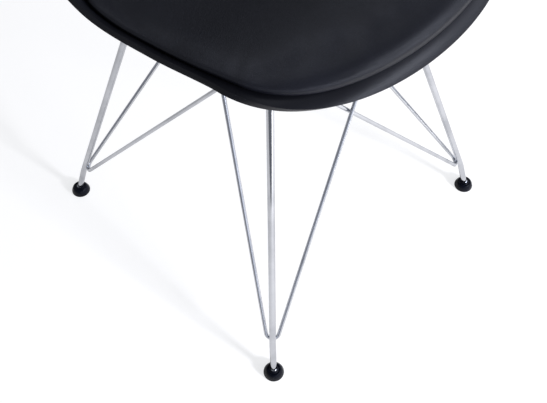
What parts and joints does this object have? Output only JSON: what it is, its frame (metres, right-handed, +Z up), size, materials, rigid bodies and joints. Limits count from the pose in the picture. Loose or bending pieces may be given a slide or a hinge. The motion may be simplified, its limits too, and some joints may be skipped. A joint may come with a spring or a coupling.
{
  "type": "side chair",
  "caption": "Armless side chair: black moulded shell with a leatherette seat pad on a chromed wire-rod base with crossing V braces and round tilting glides.",
  "frame": {"origin": "on the floor, below the middle of the chair's bounding box", "axes": "+Z up, -Y to the front where the sitter faces, +X to the sitter's left"},
  "size_m": [0.426, 0.5235, 0.8191],
  "materials": {
    "shell_plastic": "satin moulded, very fine texture",
    "leatherette": "soft satin with a fine leather grain",
    "seat_foam": "open-cell cushion foam",
    "pad_board": "bent plywood",
    "zinc_steel": "zinc plated",
    "brass_insert": "machined",
    "chrome_rod": "polished chrome plate",
    "spacer_rubber": "matte moulded rubber",
    "glide_nylon": "satin moulded nylon"
  },
  "bodies": {
    "chair": {"seat_shell": "shell_plastic", "threaded_inserts": "brass_insert", "pad_cover": "leatherette", "pad_foam": "seat_foam", "pad_board": "pad_board", "pad_tee_nuts": "zinc_steel", "pad_screws": "zinc_steel", "front_leg_frame": "chrome_rod", "rear_leg_frame": "chrome_rod", "front_right_brace": "chrome_rod", "front_left_brace": "chrome_rod", "rear_right_brace": "chrome_rod", "rear_left_brace": "chrome_rod", "right_mount_strap": "chrome_rod", "left_mount_strap": "chrome_rod", "front_right_spacer": "spacer_rubber", "front_left_spacer": "spacer_rubber", "rear_right_spacer": "spacer_rubber", "rear_left_spacer": "spacer_rubber", "mount_screws": "zinc_steel", "mount_washers": "zinc_steel"},
    "front_right_foot": {"front_right_glide": "glide_nylon"},
    "front_left_foot": {"front_left_glide": "glide_nylon"},
    "rear_right_foot": {"rear_right_glide": "glide_nylon"},
    "rear_left_foot": {"rear_left_glide": "glide_nylon"}
  },
  "joints": [
    {"name": "front_right_glide_tilt", "type": "hinge", "parent": "chair", "child": "front_right_foot", "pos_m": [-0.2, -0.2486, 0.007], "axis": [-0.7656, 0.6433, 0], "range_deg": [-10, 10]},
    {"name": "front_left_glide_tilt", "type": "hinge", "parent": "chair", "child": "front_left_foot", "pos_m": [0.2, -0.2486, 0.007], "axis": [-0.7656, -0.6433, 0], "range_deg": [-10, 10]},
    {"name": "rear_right_glide_tilt", "type": "hinge", "parent": "chair", "child": "rear_right_foot", "pos_m": [-0.2, 0.1468, 0.007], "axis": [0.7656, 0.6433, 0], "range_deg": [-10, 10]},
    {"name": "rear_left_glide_tilt", "type": "hinge", "parent": "chair", "child": "rear_left_foot", "pos_m": [0.2, 0.1468, 0.007], "axis": [0.7656, -0.6433, 0], "range_deg": [-10, 10]}
  ]
}
